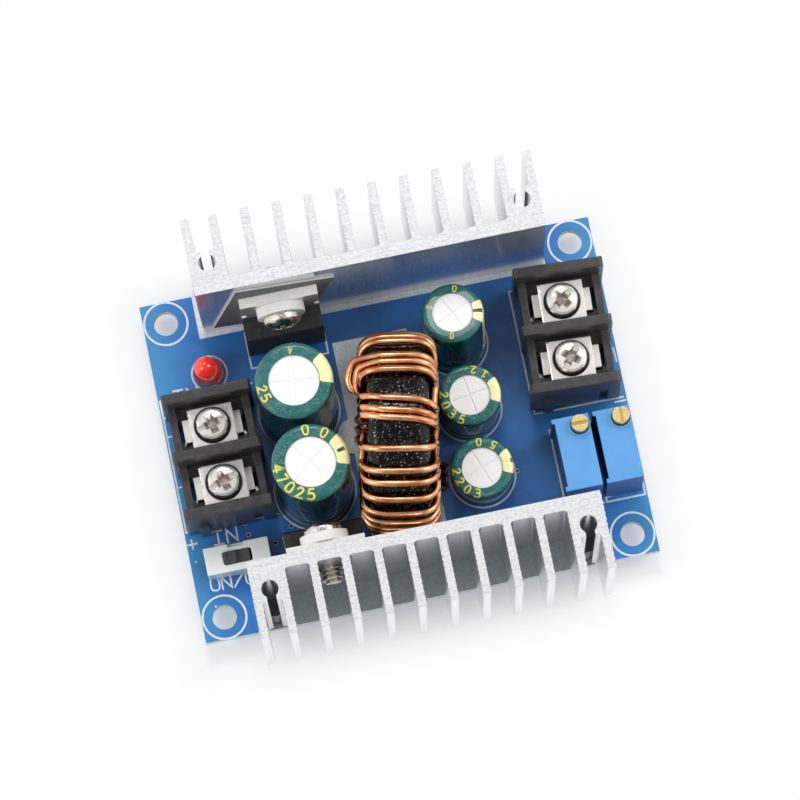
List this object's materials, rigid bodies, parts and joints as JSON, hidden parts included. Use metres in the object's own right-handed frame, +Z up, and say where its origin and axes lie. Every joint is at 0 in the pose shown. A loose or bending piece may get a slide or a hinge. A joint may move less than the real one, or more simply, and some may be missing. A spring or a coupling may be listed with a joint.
{
  "type": "step-down power converter board",
  "caption": "Rectangular power converter board with finned heatsinks along both long edges, a standing toroid inductor, round capacitors, barrier terminals and trimmers.",
  "frame": {"origin": "centre of the four mounting holes, on the underside of the board", "axes": "+Z up through the board towards the parts, +X along the board from the input terminal to the output terminal, +Y towards the rear heatsink"},
  "size_m": [0.06, 0.0547, 0.0299],
  "materials": {
    "board_mask": "blue solder mask on glass fibre, white print",
    "solder": "bright reflowed solder",
    "sink_aluminium": "mill-finish extrusion with sawn ends",
    "plated_pins": "tin plated",
    "moulded_case": "fine-grained black epoxy moulding",
    "tab_metal": "tin-plated copper",
    "pad_grey": "filled silicone sheet",
    "bush_white": "moulded white plastic",
    "zinc_screw": "bright zinc plate",
    "core_coat": "glossy black epoxy coat",
    "enamelled_wire": "clear enamel over copper",
    "can_aluminium": "drawn aluminium",
    "sleeve_green": "heat-shrunk film with a pale polarity stripe",
    "bung_rubber": "moulded rubber",
    "housing_black": "moulded black plastic",
    "nickel": "nickel-plated steel",
    "lamp_red": "red diffused epoxy",
    "switch_steel": "tinned sheet steel",
    "switch_brown": "paper laminate",
    "slider_black": "moulded black plastic",
    "trimmer_blue": "moulded blue plastic",
    "trimmer_brass": "turned brass",
    "shunt_black": "coated metal strip",
    "resistor_black": "coated chips",
    "capacitor_tan": "fired chips"
  },
  "bodies": {
    "board": {"circuit_board": "board_mask", "solder_joints": "solder", "front_heatsink": "sink_aluminium", "rear_heatsink": "sink_aluminium", "heatsink_pins": "plated_pins", "lamp_leads": "plated_pins", "switch_pins": "plated_pins", "trimmer_pins": "plated_pins", "capacitor_leads": "plated_pins", "chip_legs": "plated_pins", "front_transistor_case": "moulded_case", "rear_transistor_case": "moulded_case", "controller_chip": "moulded_case", "amplifier_chip": "moulded_case", "front_transistor_frame": "tab_metal", "rear_transistor_frame": "tab_metal", "front_insulating_pad": "pad_grey", "rear_insulating_pad": "pad_grey", "shoulder_bushes": "bush_white", "tab_screws": "zinc_screw", "inductor_core": "core_coat", "inductor_winding": "enamelled_wire", "input_capacitor_1_can": "can_aluminium", "input_capacitor_2_can": "can_aluminium", "output_capacitor_1_can": "can_aluminium", "output_capacitor_2_can": "can_aluminium", "output_capacitor_3_can": "can_aluminium", "input_capacitor_1_sleeve": "sleeve_green", "input_capacitor_2_sleeve": "sleeve_green", "output_capacitor_1_sleeve": "sleeve_green", "output_capacitor_2_sleeve": "sleeve_green", "output_capacitor_3_sleeve": "sleeve_green", "capacitor_bungs": "bung_rubber", "input_terminal_housing": "housing_black", "output_terminal_housing": "housing_black", "input_contacts": "nickel", "output_contacts": "nickel", "lamp_lens": "lamp_red", "switch_frame": "switch_steel", "switch_base": "switch_brown", "voltage_trimmer_housing": "trimmer_blue", "current_trimmer_housing": "trimmer_blue", "current_shunts": "shunt_black", "small_resistors": "resistor_black", "small_capacitors": "capacitor_tan"},
    "switch_slider": {"switch_slider": "slider_black"},
    "voltage_trimmer_screw": {"voltage_trimmer_screw": "trimmer_brass"},
    "current_trimmer_screw": {"current_trimmer_screw": "trimmer_brass"},
    "input_positive_clamp": {"input_positive_clamp": "nickel"},
    "input_positive_screw": {"input_positive_screw": "nickel"},
    "input_negative_clamp": {"input_negative_clamp": "nickel"},
    "input_negative_screw": {"input_negative_screw": "nickel"},
    "output_positive_clamp": {"output_positive_clamp": "nickel"},
    "output_positive_screw": {"output_positive_screw": "nickel"},
    "output_negative_clamp": {"output_negative_clamp": "nickel"},
    "output_negative_screw": {"output_negative_screw": "nickel"}
  },
  "joints": [
    {"name": "switch_slide", "type": "slide", "parent": "board", "child": "switch_slider", "axis": [1, 0, 0], "range_m": [0, 0.002]},
    {"name": "voltage_turn", "type": "hinge", "parent": "board", "child": "voltage_trimmer_screw", "pos_m": [0.02802, -0.00614, 0.0118], "axis": [0, 0, 1], "continuous": true},
    {"name": "current_turn", "type": "hinge", "parent": "board", "child": "current_trimmer_screw", "pos_m": [0.02265, -0.00614, 0.0118], "axis": [0, 0, 1], "continuous": true},
    {"name": "input_positive_lift", "type": "slide", "parent": "board", "child": "input_positive_clamp", "axis": [0, 0, 1], "range_m": [0, 0.0025]},
    {"name": "input_positive_turn", "type": "hinge", "parent": "input_positive_clamp", "child": "input_positive_screw", "pos_m": [-0.02355, -0.00396, 0.00994], "axis": [0, 0, 1], "range_deg": [0, 1800]},
    {"name": "input_negative_lift", "type": "slide", "parent": "board", "child": "input_negative_clamp", "axis": [0, 0, 1], "range_m": [0, 0.0025]},
    {"name": "input_negative_turn", "type": "hinge", "parent": "input_negative_clamp", "child": "input_negative_screw", "pos_m": [-0.02355, 0.00366, 0.00994], "axis": [0, 0, 1], "range_deg": [0, 1800]},
    {"name": "output_positive_lift", "type": "slide", "parent": "board", "child": "output_positive_clamp", "axis": [0, 0, 1], "range_m": [0, 0.0025]},
    {"name": "output_positive_turn", "type": "hinge", "parent": "output_positive_clamp", "child": "output_positive_screw", "pos_m": [0.02385, 0.01051, 0.00994], "axis": [0, 0, 1], "range_deg": [0, 1800]},
    {"name": "output_negative_lift", "type": "slide", "parent": "board", "child": "output_negative_clamp", "axis": [0, 0, 1], "range_m": [0, 0.0025]},
    {"name": "output_negative_turn", "type": "hinge", "parent": "output_negative_clamp", "child": "output_negative_screw", "pos_m": [0.02345, 0.0029, 0.00994], "axis": [0, 0, 1], "range_deg": [0, 1800]}
  ],
  "couplings": [
    {"joint": "input_positive_turn", "follows": "input_positive_lift", "rad_per_m": 12566},
    {"joint": "input_negative_turn", "follows": "input_negative_lift", "rad_per_m": 12566},
    {"joint": "output_positive_turn", "follows": "output_positive_lift", "rad_per_m": 12566},
    {"joint": "output_negative_turn", "follows": "output_negative_lift", "rad_per_m": 12566}
  ]
}
